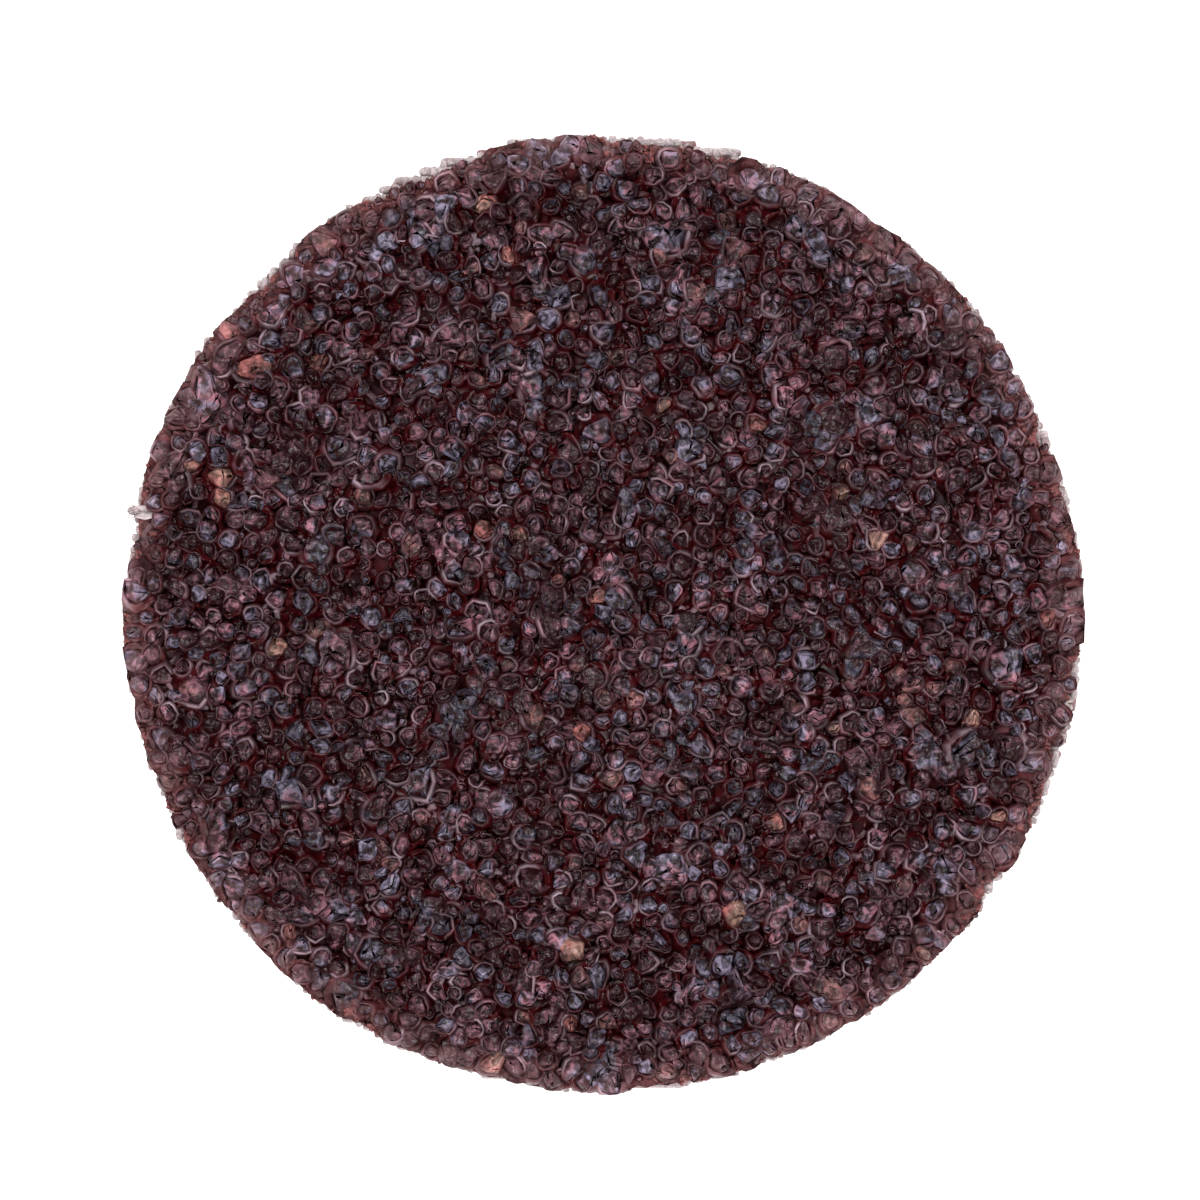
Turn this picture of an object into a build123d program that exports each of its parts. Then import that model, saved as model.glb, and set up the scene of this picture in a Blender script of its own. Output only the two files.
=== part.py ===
from build123d import *
import math
import os
import random

# Quick-change carving disc: a two-ply coated abrasive disc with no centre hole, carried on a
# moulded roll-on stud. Coarse crushed grain is held in resin on a woven cloth ply, a second
# cloth ply stiffens it from behind, and the stud screws into a holder on the grinder's spindle.
# Millimetres. +Z points out of the grain face, and z = 0 is the back face that seats on the holder.

# --- disc ---
DISC_DIAMETER = 50.8
DISC_RADIUS = DISC_DIAMETER / 2

# --- cloth: each ply is a layer of warp yarns under a layer of weft yarns ---
YARN_PITCH = 0.5
YARN_WIDTH = 0.42
YARN_THICKNESS = 0.24
SHORTEST_YARN = 4.0
BACK_SIZE_THICKNESS = 0.05
LAMINATING_THICKNESS = 0.12

# --- resin coats and grain ---
MAKE_COAT_THICKNESS = 0.22
SIZE_COAT_THICKNESS = 0.18
GRAIN_SPACING = 0.88
GRAIN_MARGIN = 0.05
GRAIN_HEIGHTS = (0.34, 0.46, 0.58)
GRAIN_RADII = (0.35, 0.39, 0.43)
GRAIN_SHAPES_PER_SIZE = 8
GRAIN_SIDES = (5, 6)
GRAIN_CORNER_SHIFT = 0.25
GRAIN_CORNER_REACH = (0.78, 1.0)
GRAIN_TOP_SHARES = (0.50, 0.72)
GRAIN_LEAN = 0.5
RED_SHARE = 0.08
PALE_SHARE = 0.02
PLACE_TRIES = 30
LAYOUT_SEED = 24

# --- moulded roll-on stud, pointing down from the back of the disc ---
FLANGE_DIAMETER = 20.0
FLANGE_THICKNESS = 1.2
FLANGE_EDGE_RADIUS = 0.4
SHOULDER_RADIUS = 5.6
SHOULDER_LENGTH = 1.2
STUD_LENGTH = 7.0
CORE_RADIUS = 4.3
CREST_RADIUS = 5.4
THREAD_LEAD = 3.0
THREAD_ROOT_WIDTH = 1.7
THREAD_CREST_WIDTH = 0.7
THREAD_END_GAP = 0.3
THREAD_BITE = 0.3
TIP_CHAMFER = 0.5
CORING_RADIUS = 1.6
CORING_DEPTH = 4.6
GLUE_THICKNESS = 0.15
GLUE_BEAD = 0.7

# --- levels, worked out from the back face upwards ---
REAR_WARP_LOW = BACK_SIZE_THICKNESS
REAR_WEFT_LOW = REAR_WARP_LOW + YARN_THICKNESS
LAMINATING_LOW = REAR_WEFT_LOW + YARN_THICKNESS
FRONT_WARP_LOW = LAMINATING_LOW + LAMINATING_THICKNESS
FRONT_WEFT_LOW = FRONT_WARP_LOW + YARN_THICKNESS
MAKE_COAT_LOW = FRONT_WEFT_LOW + YARN_THICKNESS
SIZE_COAT_LOW = MAKE_COAT_LOW + MAKE_COAT_THICKNESS
GRAIN_LOW = SIZE_COAT_LOW + SIZE_COAT_THICKNESS
FLANGE_TOP = -GLUE_THICKNESS
FLANGE_BOTTOM = FLANGE_TOP - FLANGE_THICKNESS
STUD_END = FLANGE_BOTTOM - STUD_LENGTH
GLUE_RADIUS = FLANGE_DIAMETER / 2 + GLUE_BEAD


def layer(low, thickness, inner_radius=0.0):
    """A flat layer over the whole disc, with a round opening in the middle if one is asked for."""
    outline = Circle(DISC_RADIUS)
    if inner_radius:
        outline -= Circle(inner_radius)
    return Pos(0, 0, low) * extrude(outline, thickness)


def yarn_layer(low, turn):
    """Parallel flat yarns side by side, each as long as the disc is where it lies."""
    count = int(DISC_RADIUS / YARN_PITCH)
    yarns = []
    for number in range(-count, count + 1):
        offset = number * YARN_PITCH
        outer_edge = abs(offset) + YARN_WIDTH / 2
        if outer_edge >= DISC_RADIUS:
            continue
        length = 2 * math.sqrt(DISC_RADIUS**2 - outer_edge**2)
        if length < SHORTEST_YARN:
            continue
        section = Plane.YZ * SlotOverall(YARN_WIDTH, YARN_THICKNESS)
        yarn = extrude(section, length / 2, both=True)
        yarns.append(Rot(0, 0, turn) * Pos(0, offset, low + YARN_THICKNESS / 2) * yarn)
    return yarns


def grain_places(chance):
    """Random places over the face, no two nearer than the grain spacing.

    The layout grows from the centre: each new place lies one to two spacings from an old one.
    A square cell holds one place at most, so only the cells two away or nearer are searched.
    """
    reach = DISC_RADIUS - GRAIN_MARGIN - max(GRAIN_RADII)
    cell = GRAIN_SPACING / math.sqrt(2)
    places = [(0.0, 0.0)]
    by_cell = {(0, 0): (0.0, 0.0)}
    growing = [(0.0, 0.0)]
    while growing:
        pick = chance.randrange(len(growing))
        x, y = growing[pick]
        for _ in range(PLACE_TRIES):
            angle = chance.uniform(0, 2 * math.pi)
            distance = chance.uniform(GRAIN_SPACING, 2 * GRAIN_SPACING)
            new = (x + distance * math.cos(angle), y + distance * math.sin(angle))
            if math.hypot(*new) > reach:
                continue
            column, row = math.floor(new[0] / cell), math.floor(new[1] / cell)
            near = [
                by_cell[column + i, row + j]
                for i in range(-2, 3)
                for j in range(-2, 3)
                if (column + i, row + j) in by_cell
            ]
            if all(math.dist(new, other) >= GRAIN_SPACING for other in near):
                places.append(new)
                growing.append(new)
                by_cell[column, row] = new
                break
        else:
            growing.pop(pick)
    return places


def grain_shape(chance, radius, height):
    """One crushed grain above the resin: an uneven polygon that narrows to a flat, off-centre top."""
    sides = chance.choice(GRAIN_SIDES)
    turn = chance.uniform(0, 360)
    bottom = []
    for side in range(sides):
        shift = chance.uniform(-GRAIN_CORNER_SHIFT, GRAIN_CORNER_SHIFT)
        angle = math.radians(turn + 360 / sides * (side + shift))
        reach = radius * chance.uniform(*GRAIN_CORNER_REACH)
        bottom.append((reach * math.cos(angle), reach * math.sin(angle)))
    share = chance.uniform(*GRAIN_TOP_SHARES)
    lean = radius * (1 - share) * GRAIN_LEAN
    lean_x, lean_y = chance.uniform(-lean, lean), chance.uniform(-lean, lean)
    low = [Vector(x, y, 0) for x, y in bottom]
    high = [Vector(x * share + lean_x, y * share + lean_y, height) for x, y in bottom]
    faces = [Face(Wire.make_polygon(low)), Face(Wire.make_polygon(high))]
    for side in range(sides):
        after = (side + 1) % sides
        corners = [low[side], low[after], high[after], high[side]]
        faces.append(Face(Wire.make_polygon(corners)))
    return Solid(Shell(faces))


def grain_kinds():
    """Every grain as a solid on the size coat, sorted into the dark, red and pale kinds."""
    chance = random.Random(LAYOUT_SEED)
    shapes = {}
    for size, (radius, height) in enumerate(zip(GRAIN_RADII, GRAIN_HEIGHTS)):
        shapes[size] = [grain_shape(chance, radius, height) for _ in range(GRAIN_SHAPES_PER_SIZE)]
    kinds = {"dark_grain": [], "red_grain": [], "pale_grain": []}
    for x, y in grain_places(chance):
        shape = chance.choice(shapes[chance.randrange(len(shapes))])
        placed = Pos(x, y, GRAIN_LOW) * Rot(0, 0, chance.uniform(0, 360)) * shape
        draw = chance.random()
        if draw < PALE_SHARE:
            kinds["pale_grain"].append(placed)
        elif draw < PALE_SHARE + RED_SHARE:
            kinds["red_grain"].append(placed)
        else:
            kinds["dark_grain"].append(placed)
    return kinds


def glue():
    """Adhesive under the flange, soaked through the back size to the yarns, with a bead round it."""
    outline = [
        (0, BACK_SIZE_THICKNESS),
        (GLUE_RADIUS, BACK_SIZE_THICKNESS),
        (GLUE_RADIUS, 0),
        (FLANGE_DIAMETER / 2, FLANGE_TOP),
        (0, FLANGE_TOP),
    ]
    return revolve(Plane.XZ * make_face(Polyline(*outline, close=True)), Axis.Z)


def thread_ridge():
    """The coarse roll-on thread, one start, rooted a little inside the stud's core."""
    start = STUD_END + THREAD_END_GAP + THREAD_ROOT_WIDTH / 2
    end = FLANGE_BOTTOM - SHOULDER_LENGTH - THREAD_END_GAP - THREAD_ROOT_WIDTH / 2
    helix = Pos(0, 0, start) * Helix(THREAD_LEAD, end - start, CORE_RADIUS)
    across = Plane(origin=helix @ 0, x_dir=(1, 0, 0), z_dir=helix % 0)
    section = Polyline(
        (-THREAD_BITE, -THREAD_ROOT_WIDTH / 2),
        (0, -THREAD_ROOT_WIDTH / 2),
        (CREST_RADIUS - CORE_RADIUS, -THREAD_CREST_WIDTH / 2),
        (CREST_RADIUS - CORE_RADIUS, THREAD_CREST_WIDTH / 2),
        (0, THREAD_ROOT_WIDTH / 2),
        (-THREAD_BITE, THREAD_ROOT_WIDTH / 2),
        close=True,
    )
    return sweep(across * make_face(section), path=helix, is_frenet=True)


def drive_button():
    """The one-piece moulding: flange, plain pilot shoulder, and a threaded stud with a cored end."""
    flange = Pos(0, 0, FLANGE_BOTTOM) * extrude(Circle(FLANGE_DIAMETER / 2), FLANGE_THICKNESS)
    flange = fillet(flange.edges().filter_by(GeomType.CIRCLE).sort_by(Axis.Z)[0], FLANGE_EDGE_RADIUS)
    shoulder_low = FLANGE_BOTTOM - SHOULDER_LENGTH
    shoulder = Pos(0, 0, shoulder_low) * extrude(Circle(SHOULDER_RADIUS), SHOULDER_LENGTH)
    core = Pos(0, 0, STUD_END) * extrude(Circle(CORE_RADIUS), STUD_LENGTH)
    core = chamfer(core.edges().filter_by(GeomType.CIRCLE).sort_by(Axis.Z)[0], TIP_CHAMFER)
    coring = Pos(0, 0, STUD_END) * extrude(Circle(CORING_RADIUS), CORING_DEPTH)
    return flange + shoulder + core + thread_ridge() - coring


def main():
    os.makedirs("parts", exist_ok=True)
    nodes = {
        "size_coat": [layer(SIZE_COAT_LOW, SIZE_COAT_THICKNESS)],
        "make_coat": [layer(MAKE_COAT_LOW, MAKE_COAT_THICKNESS)],
        "front_weft_yarns": yarn_layer(FRONT_WEFT_LOW, 90),
        "front_warp_yarns": yarn_layer(FRONT_WARP_LOW, 0),
        "laminating_glue": [layer(LAMINATING_LOW, LAMINATING_THICKNESS)],
        "rear_weft_yarns": yarn_layer(REAR_WEFT_LOW, 90),
        "rear_warp_yarns": yarn_layer(REAR_WARP_LOW, 0),
        "back_size": [layer(0, BACK_SIZE_THICKNESS, GLUE_RADIUS)],
        "button_glue": [glue()],
        "drive_button": [drive_button()],
    }
    nodes.update(grain_kinds())
    for name, solids in nodes.items():
        print(name, len(solids))
        export_step(Compound(solids), f"parts/{name}.step", write_pcurves=False)


main()
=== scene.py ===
import math
import random

import bmesh
import bpy
from bpy.props import FloatProperty, FloatVectorProperty, IntProperty, PointerProperty
from mathutils import Matrix, Vector, kdtree, noise


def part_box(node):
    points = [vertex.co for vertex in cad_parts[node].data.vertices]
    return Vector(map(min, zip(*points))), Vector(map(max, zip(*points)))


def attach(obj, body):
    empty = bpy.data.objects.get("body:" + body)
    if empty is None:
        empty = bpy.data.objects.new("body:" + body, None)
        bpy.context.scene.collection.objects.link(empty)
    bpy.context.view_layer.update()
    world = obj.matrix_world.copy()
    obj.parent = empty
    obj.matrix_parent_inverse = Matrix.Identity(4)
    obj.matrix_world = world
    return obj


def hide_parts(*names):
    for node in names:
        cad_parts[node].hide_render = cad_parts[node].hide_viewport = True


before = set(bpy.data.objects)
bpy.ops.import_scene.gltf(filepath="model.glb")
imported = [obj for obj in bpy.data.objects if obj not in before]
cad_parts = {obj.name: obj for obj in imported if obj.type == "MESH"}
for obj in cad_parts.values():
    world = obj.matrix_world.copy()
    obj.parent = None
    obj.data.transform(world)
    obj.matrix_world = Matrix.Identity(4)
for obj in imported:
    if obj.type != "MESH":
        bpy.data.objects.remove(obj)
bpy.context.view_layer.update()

bl_info = {
    "name": "Carving Disc",
    "version": (1, 0, 0),
    "blender": (4, 5, 0),
    "location": "3D View > Sidebar > Carving Disc",
    "description": "Builds a coarse-grain carving disc with a roll-on stud round its engineering model",
    "category": "Add Mesh",
}

MM = 0.001
BODY = "root"
GRAIN_KINDS = ("dark_grain", "red_grain", "pale_grain")

# Stands a flat ring up across the X axis
UPRIGHT = Matrix.Rotation(math.radians(90), 4, "Y")

# Levels and sizes that the engineering model fixes, in metres
DISC_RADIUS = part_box("size_coat")[1].x
RESIN_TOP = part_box("size_coat")[1].z
RESIN_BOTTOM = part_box("size_coat")[0].z
MAKE_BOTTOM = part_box("make_coat")[0].z
FRONT_PLY = (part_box("front_warp_yarns")[0].z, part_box("front_weft_yarns")[1].z)
GLUE_LINE = (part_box("laminating_glue")[0].z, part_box("laminating_glue")[1].z)
REAR_PLY = (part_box("rear_warp_yarns")[0].z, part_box("rear_weft_yarns")[1].z)
BACK_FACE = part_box("back_size")[0].z
GLUE_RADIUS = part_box("button_glue")[1].x
STUD_LOW, STUD_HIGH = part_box("drive_button")
FLANGE_RADIUS = STUD_HIGH.x
FLANGE_THICKNESS = 1.2 * MM
FLANGE_LOW = STUD_HIGH.z - FLANGE_THICKNESS
SHOULDER_LENGTH = 1.2 * MM
SHOULDER_LOW = FLANGE_LOW - SHOULDER_LENGTH
SHOULDER_RADIUS = 5.6 * MM
CORE_RADIUS = 4.3 * MM
THREAD_CREST = 5.4 * MM
THREAD_END_GAP = 0.3 * MM
THREAD_BITE = 0.3 * MM
CORING_RADIUS = 1.6 * MM
CORING_DEPTH = 4.6 * MM
CORNER_ROUND = 0.28 * MM

# The cut edge: how far its outline wanders, and the stretches that are bare of grain, so that yarn
# ends show there. Each has its middle and its half width, in degrees.
RIM_WANDER = 0.22 * MM
BARE_STRETCHES = ((110, 7), (78, 10), (16, 8), (-17, 9), (168, 5))
TUFT_ANGLE = 167.5
TUFT_HALF_WIDTH = 0.6
TUFT_REACH = 0.42 * MM

# Seeds of everything that is random. Without its own, noise_vector would differ from run to run.
LAYOUT_SEED = 7
SHAPE_SEED = 11
EDGE_CRUMB_SEED = 29
FIBRE_SEED = 31
BED_SEED = 5

# Steps round the disc of each turned layer, and round a grain of each lip
RIM_STEPS = 1500
BACK_STEPS = 900
BEAD_STEPS = 360
LIP_STEPS = 11
CRUMB_LIP_STEPS = 8

# How many flat breaks shape a grain or a crumb, and how far out a corner may lie, in grain radii
GRAIN_CUTS = (10, 11, 12)
CRUMB_CUTS = 8
LONGEST_SPIKE = 1.6

# Each row of a resin lip: how far out it lies, how high, and how thin the resin is there; the thinness also
# sets how much painted highlight the row takes
LIP_ROWS = (
    (-0.20, 0.0, 0.0),
    (-0.03, 0.85, 0.35),
    (0.07, 1.0, 0.9),
    (0.19, 0.75, 0.5),
    (0.36, -0.1, 0.03),
    (0.62, -1.7, 0.0),
)
CRUMB_LIP_ROWS = ((-0.10, 0.0, 0.0), (0.20, 1.0, 0.5), (0.60, -1.5, 0.0))

# The make coat's broken edge, in millimetres: each row's set-back from the edge, the level that it
# is measured from and its height above that, and the height of its lumps
MAKE_COAT_ROWS = (
    (1.5, MAKE_BOTTOM, 0.10, 0.02),
    (1.05, RESIN_BOTTOM, -0.05, 0.10),
    (0.75, RESIN_BOTTOM, -0.04, 0.16),
    (0.48, RESIN_BOTTOM, -0.02, 0.16),
    (0.24, RESIN_BOTTOM, -0.03, 0.14),
    (0.06, RESIN_BOTTOM, -0.06, 0.08),
    (0.0, (MAKE_BOTTOM + RESIN_BOTTOM) / 2, 0.0, 0.03),
    (0.10, MAKE_BOTTOM, 0.0, 0.02),
)
MAKE_COAT_INNER = DISC_RADIUS - 2.6 * MM

# The glue bead: each row's share of the bead's width, and how far below the back face it lies
BEAD_ROWS = ((1.0, 0.02), (0.86, 0.10), (0.60, 0.19), (0.30, 0.25), (0.08, 0.27))

# Half widths of a pulled yarn end from its tip to its root, and its length, in millimetres
TONGUE_WIDTHS = (0.02, 0.09, 0.16, 0.20, 0.22, 0.21, 0.17, 0.11, 0.03)
TONGUE_LENGTH = 1.35

# How far in from its edge each ply can be seen, so that its yarns are finely cut there
FRONT_PLY_SEEN = 2.5 * MM
REAR_PLY_COVERED = FLANGE_RADIUS - 0.6 * MM

# The stage, in metres
CAMERA_CENTRE = (-0.000175, 0.000726)
LAMP_OUT, LAMP_UP = 0.22, 0.20
LAMP_SIZE = (0.13, 0.08)
LAMP_COLOR = (1.0, 0.95, 0.955)
SKY_COLOR = (0.93, 0.96, 1.0, 1.0)
SKY_STRENGTH = 0.04
FLOOR_REACH = 6.0
FLOOR_GAP = 0.01 * MM
FLOOR_GLOW = 0.75


# === Settings ===


class CarvingDiscGrain(bpy.types.PropertyGroup):
    """How the crushed grain looks."""

    shapes: IntProperty(name="Shapes", description="Different grain shapes in use", default=60, min=4)
    swell: FloatProperty(
        name="Swell", description="Grain width against its engineering solid", default=1.48, min=0.5
    )
    crumb_radius: FloatProperty(
        name="Crumb radius",
        description="Mean radius of the small grains that fill the gaps",
        default=0.00027,
        unit="LENGTH",
    )
    crumbs: IntProperty(name="Crumbs", description="How many small grains are tried", default=3200)
    dark: FloatVectorProperty(
        name="Dark grain",
        description="Blue-grey alumina",
        default=(0.0280, 0.0245, 0.0350),
        subtype="COLOR",
    )
    stain: FloatVectorProperty(
        name="Stained grain",
        description="Grain seen through resin",
        default=(0.037, 0.0160, 0.0205),
        subtype="COLOR",
    )
    red: FloatVectorProperty(
        name="Red grain",
        description="Red-brown alumina",
        default=(0.058, 0.026, 0.025),
        subtype="COLOR",
    )
    pale: FloatVectorProperty(
        name="Pale grain", description="Peach alumina", default=(0.125, 0.070, 0.056), subtype="COLOR"
    )
    coral: FloatVectorProperty(
        name="Coral grain", description="Pink alumina", default=(0.150, 0.052, 0.048), subtype="COLOR"
    )
    pit: FloatVectorProperty(
        name="Pits",
        description="Resin in the grain's pits",
        default=(0.021, 0.0010, 0.0020),
        subtype="COLOR",
    )
    # Pinker colour mixed over the grain near the rim, where it is also lightened
    dust: FloatVectorProperty(
        name="Dust",
        description="Dust on the grain near the rim",
        default=(0.25, 0.140, 0.148),
        subtype="COLOR",
    )


class CarvingDiscResin(bpy.types.PropertyGroup):
    """How the size coat looks."""

    cells: IntProperty(name="Cells", description="Cells across the resin surface", default=310)
    lip_height: FloatProperty(
        name="Lip height",
        description="How far the resin climbs round a grain",
        default=0.00026,
        unit="LENGTH",
    )
    deep: FloatVectorProperty(
        name="Deep resin",
        description="Maroon of the hollows",
        default=(0.0130, 0.0005, 0.0011),
        subtype="COLOR",
    )
    # Crest colour: thin resin, and a painted highlight on the crests of lips and webs
    crest: FloatVectorProperty(
        name="Thin resin",
        description="Greyed pink of the thin lips",
        default=(0.340, 0.260, 0.305),
        subtype="COLOR",
    )
    # Pinker colour mixed over the resin near the rim, where it is also lightened; the broken make coat is
    # coloured from it too
    rim: FloatVectorProperty(
        name="Rim dust",
        description="Pinkish dust of the cut edge",
        default=(0.25, 0.130, 0.135),
        subtype="COLOR",
    )
    edge_crumbs: IntProperty(name="Edge crumbs", description="Crumbs of broken resin tried", default=1500)


class CarvingDiscCloth(bpy.types.PropertyGroup):
    """How the two cloth plies look."""

    pitch: FloatProperty(
        name="Yarn pitch",
        description="Distance between neighbouring yarns",
        default=0.0005,
        unit="LENGTH",
    )
    thickness: FloatProperty(
        name="Yarn thickness",
        description="Height of the flattened yarn",
        default=0.00022,
        unit="LENGTH",
    )
    crimp: FloatProperty(
        name="Crimp",
        description="How far a yarn rises and falls from its mean line",
        default=0.00015,
        unit="LENGTH",
    )
    yarn: FloatVectorProperty(
        name="Yarn", description="Undyed spun yarn", default=(0.76, 0.67, 0.68), subtype="COLOR"
    )
    back: FloatVectorProperty(
        name="Back finish",
        description="Thin resin on the back",
        default=(0.22, 0.105, 0.07),
        subtype="COLOR",
    )
    dust: FloatVectorProperty(
        name="Yarn dust",
        description="Dust on the cut yarn ends",
        default=(0.30, 0.15, 0.14),
        subtype="COLOR",
    )
    laminate: FloatVectorProperty(
        name="Laminating glue",
        description="Brown glue of the plies",
        default=(0.27, 0.15, 0.075),
        subtype="COLOR",
    )
    laminate_fleck: FloatVectorProperty(
        name="Glue flecks",
        description="Paler specks in that glue",
        default=(0.36, 0.24, 0.15),
        subtype="COLOR",
    )
    fibres: IntProperty(name="Loose fibres", description="Fibres tried round the rim", default=1500)
    tuft_fibres: IntProperty(name="Tuft fibres", description="Fibres in the one pulled tuft", default=30)


class CarvingDiscStud(bpy.types.PropertyGroup):
    """The moulded roll-on stud and its glue."""

    thread_lead: FloatProperty(
        name="Thread lead",
        description="Height of one turn of the thread",
        default=0.003,
        unit="LENGTH",
    )
    thread_root: FloatProperty(
        name="Thread root",
        description="Width of the thread where it leaves the core",
        default=0.0017,
        unit="LENGTH",
    )
    nylon: FloatVectorProperty(
        name="Nylon", description="Black moulded nylon", default=(0.014, 0.014, 0.016), subtype="COLOR"
    )
    glue: FloatVectorProperty(
        name="Glue", description="Amber hot-melt glue", default=(0.45, 0.29, 0.11), subtype="COLOR"
    )


class CarvingDiscStage(bpy.types.PropertyGroup):
    """The floor, the camera and the lights."""

    key: FloatProperty(
        name="Side lights", description="Power of each side light", default=0.40, unit="POWER"
    )
    frame_width: FloatProperty(
        name="Frame width",
        description="Width that the camera sees at the grain",
        default=0.06357,
        unit="LENGTH",
    )
    lens: FloatProperty(name="Lens", description="Focal length in millimetres", default=100.0)
    floor: FloatVectorProperty(
        name="Floor", description="Pale studio floor", default=(0.92, 0.92, 0.92), subtype="COLOR"
    )


# === Node materials ===


class Finish:
    """A procedural material under construction, measured in millimetres on Object coordinates."""

    def __init__(self, name):
        self.material = bpy.data.materials.new(name)
        self.material.use_nodes = True
        self.tree = self.material.node_tree
        self.shader = self.tree.nodes["Principled BSDF"]
        place = self.node("ShaderNodeTexCoord").outputs["Object"]
        self.place = self.vector("SCALE", place, Scale=1 / MM)

    def node(self, kind, **settings):
        made = self.tree.nodes.new(kind)
        for name, value in settings.items():
            setattr(made, name, value)
        return made

    def feed(self, socket, value):
        if isinstance(value, bpy.types.NodeSocket):
            self.tree.links.new(value, socket)
        else:
            socket.default_value = value

    def vector(self, operation, value, **inputs):
        made = self.node("ShaderNodeVectorMath", operation=operation)
        self.feed(made.inputs[0], value)
        for name, given in inputs.items():
            self.feed(made.inputs[name], given)
        return made.outputs["Value" if operation == "LENGTH" else "Vector"]

    def math(self, operation, first, second=0.0, clamp=False):
        made = self.node("ShaderNodeMath", operation=operation, use_clamp=clamp)
        self.feed(made.inputs[0], first)
        self.feed(made.inputs[1], second)
        return made.outputs[0]

    def span(self, value, low, high, to_low=0.0, to_high=1.0):
        """Maps low to high onto to_low to to_high, and holds the result between them."""
        made = self.node("ShaderNodeMapRange")
        names = ("Value", "From Min", "From Max", "To Min", "To Max")
        for name, given in zip(names, (value, low, high, to_low, to_high)):
            self.feed(made.inputs[name], given)
        return made.outputs[0]

    def noise(self, scale, detail=2.0, roughness=0.5, distortion=0.0, place=None):
        made = self.node("ShaderNodeTexNoise")
        self.feed(made.inputs["Vector"], place or self.place)
        self.feed(made.inputs["Scale"], scale)
        self.feed(made.inputs["Detail"], detail)
        self.feed(made.inputs["Roughness"], roughness)
        self.feed(made.inputs["Distortion"], distortion)
        return made.outputs["Fac"]

    def mix(self, factor, first, second):
        made = self.node("ShaderNodeMix", data_type="RGBA")
        self.feed(made.inputs["Factor"], factor)
        for socket, value in (("A", first), ("B", second)):
            given = value if isinstance(value, bpy.types.NodeSocket) else (*value, 1.0)
            self.feed([s for s in made.inputs if s.name == socket and s.type == "RGBA"][0], given)
        return [s for s in made.outputs if s.type == "RGBA"][0]

    def part(self, value, axis):
        made = self.node("ShaderNodeSeparateXYZ")
        self.feed(made.inputs[0], value)
        return made.outputs[axis]

    def stretched(self, scales):
        """The place, scaled along each axis."""
        made = self.node("ShaderNodeVectorMath", operation="MULTIPLY")
        self.feed(made.inputs[0], self.place)
        made.inputs[1].default_value = scales
        return made.outputs["Vector"]

    def radius(self):
        """Distance from the disc's axis."""
        return self.vector("LENGTH", self.stretched((1.0, 1.0, 0.0)))

    def attribute(self, name):
        return self.node("ShaderNodeAttribute", attribute_name=name).outputs["Fac"]

    def bump(self, height, depth, strength=1.0, normal=None):
        """Roughens the surface by a height whose full travel is depth, in millimetres."""
        made = self.node("ShaderNodeBump")
        self.feed(made.inputs["Height"], height)
        made.inputs["Distance"].default_value = depth * MM
        made.inputs["Strength"].default_value = strength
        if normal:
            self.feed(made.inputs["Normal"], normal)
        return made.outputs["Normal"]

    def finish(self, color=None, roughness=None, normal=None, **constants):
        """Feeds the shader, sets its constant sockets and returns the material."""
        for socket, value in (("Base Color", color), ("Roughness", roughness), ("Normal", normal)):
            if value is not None:
                self.feed(self.shader.inputs[socket], value)
        for name, value in constants.items():
            self.shader.inputs[name.replace("_", " ")].default_value = value
        return self.material


def shaded(color, *shares):
    """A colour made lighter or darker by one share, or by one for each of red, green and blue."""
    return [channel * share for channel, share in zip(color, shares * 3)]


def clouded(m):
    """A slow change of lightness over a few millimetres."""
    return m.span(m.noise(0.42, 1.0), 0.38, 0.60, 0.5, 1.55)


def grain_material(name, settings, color, stain_color, spread, contrast):
    """Crushed alumina under a thin film of resin: mottled, maroon in its pits, and lighter on its bevelled
    edges as a painted highlight.
    """
    m = Finish(name)
    cloud = m.noise(2.1, 1.0, 0.5, 0.5)
    tone = m.attribute("tone")
    light = m.span(cloud, 0.40, 0.62, 1.0 - contrast, 1.0 + 1.3 * contrast)
    light = m.math("MULTIPLY", light, m.span(tone, 0.0, 1.0, 1.0 - spread, 1.0 + spread))
    light = m.math("MULTIPLY", light, clouded(m))
    # Painted highlight: the bevel faces marked edge are made lighter
    light = m.math("MULTIPLY", light, m.span(m.attribute("edge"), 0.0, 1.0, 1.0, 1.0 + 1.65 * contrast))
    stain = m.math("ADD", m.span(m.noise(0.8, 2.0), 0.45, 0.60), m.span(tone, 0.45, 0.3), clamp=True)
    base = m.vector("SCALE", m.mix(stain, color, stain_color), Scale=light)
    base = m.mix(m.span(light, 0.70, 0.15), base, settings.pit)
    # Lighter and pinker near the rim
    base = dusted(m, base, settings.dust)
    rough = m.span(cloud, 0.3, 0.7, 0.42, 0.26)
    normal = m.bump(m.noise(2.3, 1.0, 0.5, 0.5), 0.16)
    return m.finish(base, rough, normal, IOR=1.38)


def rim_share(m):
    """How much a place is lightened and pinked: none inside, most at the very edge, in patches."""
    patchy = m.noise(1.3, 3.0, 0.6)
    near = m.span(m.radius(), DISC_RADIUS / MM * 0.91, DISC_RADIUS / MM * 0.985)
    return m.math("MULTIPLY", near, m.span(patchy, 0.38, 0.60, 0.2, 1.0), clamp=True)


def dusted(m, base, dust):
    """Lightens a colour near the rim, and mixes a pinker colour over it there."""
    share = rim_share(m)
    lighter = m.vector("SCALE", base, Scale=m.span(share, 0.0, 1.0, 1.0, 2.3))
    return m.mix(m.math("MULTIPLY", share, 0.55), lighter, dust)


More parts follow.
